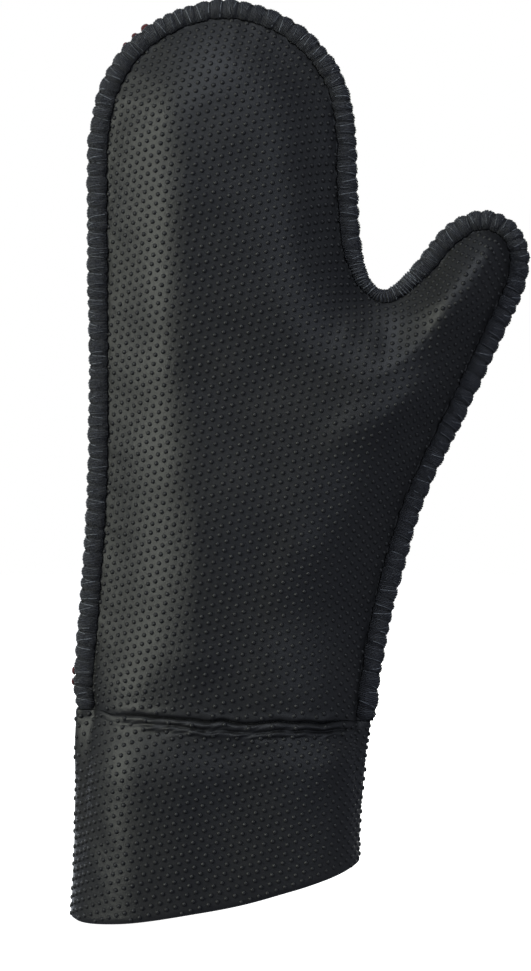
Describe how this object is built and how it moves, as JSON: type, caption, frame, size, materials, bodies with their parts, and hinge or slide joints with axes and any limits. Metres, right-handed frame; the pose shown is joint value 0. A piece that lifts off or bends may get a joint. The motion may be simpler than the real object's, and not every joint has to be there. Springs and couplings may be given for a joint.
{
  "type": "heat resistant mitt",
  "caption": "Long heat resistant cooking mitt with a thumb: dotted rubber shell, insulating felt, cloth lining, whipped edge and a separate cuff band.",
  "frame": {"origin": "centre of the hand opening at the cuff's hem, in the plane of the edge seam", "axes": "+Z from the hand opening to the fingertips, -Y out of the palm side, +Y out of the back, +X towards the thumb"},
  "size_m": [0.2, 0.0663, 0.3979],
  "materials": {
    "rubber": "soft black foam rubber with a raised dot pattern, low sheen",
    "felt": "matt grey-white needled felt",
    "lining": "matt dark red woven cloth",
    "thread": "thick black overlock yarn, slight sheen"
  },
  "bodies": {
    "sleeve": {"gauntlet_palm_shell": "rubber", "gauntlet_palm_insulation": "felt", "gauntlet_palm_lining": "lining", "gauntlet_back_shell": "rubber", "gauntlet_back_insulation": "felt", "gauntlet_back_lining": "lining", "gauntlet_left_overlock": "thread", "gauntlet_right_overlock": "thread", "cuff_closing_seam": "thread", "cuff_join_seam": "thread", "cuff_band": "rubber", "cuff_lining": "lining"},
    "hand": {"hand_palm_shell": "rubber", "hand_palm_insulation": "felt", "hand_palm_lining": "lining", "hand_back_shell": "rubber", "hand_back_insulation": "felt", "hand_back_lining": "lining", "hand_left_overlock": "thread", "crotch_overlock": "thread", "hand_right_overlock": "thread"},
    "fingers": {"fingers_palm_shell": "rubber", "fingers_palm_insulation": "felt", "fingers_palm_lining": "lining", "fingers_back_shell": "rubber", "fingers_back_insulation": "felt", "fingers_back_lining": "lining", "fingertip_overlock": "thread"},
    "thumb": {"thumb_palm_shell": "rubber", "thumb_palm_insulation": "felt", "thumb_palm_lining": "lining", "thumb_back_shell": "rubber", "thumb_back_insulation": "felt", "thumb_back_lining": "lining", "thumb_overlock": "thread"}
  },
  "joints": [
    {"name": "wrist_bend", "type": "hinge", "parent": "sleeve", "child": "hand", "pos_m": [0.02, 0, 0.185], "axis": [1, 0, 0], "range_deg": [-35, 35], "stiffness_Nm_per_rad": 2},
    {"name": "knuckle_bend", "type": "hinge", "parent": "hand", "child": "fingers", "pos_m": [0.004, 0, 0.282], "axis": [1, 0, 0], "range_deg": [-10, 60], "stiffness_Nm_per_rad": 0.6},
    {"name": "thumb_bend", "type": "hinge", "parent": "hand", "child": "thumb", "pos_m": [0.1025, 0, 0.2445], "axis": [0.8, 0, -0.6], "range_deg": [-10, 45], "stiffness_Nm_per_rad": 0.2}
  ]
}
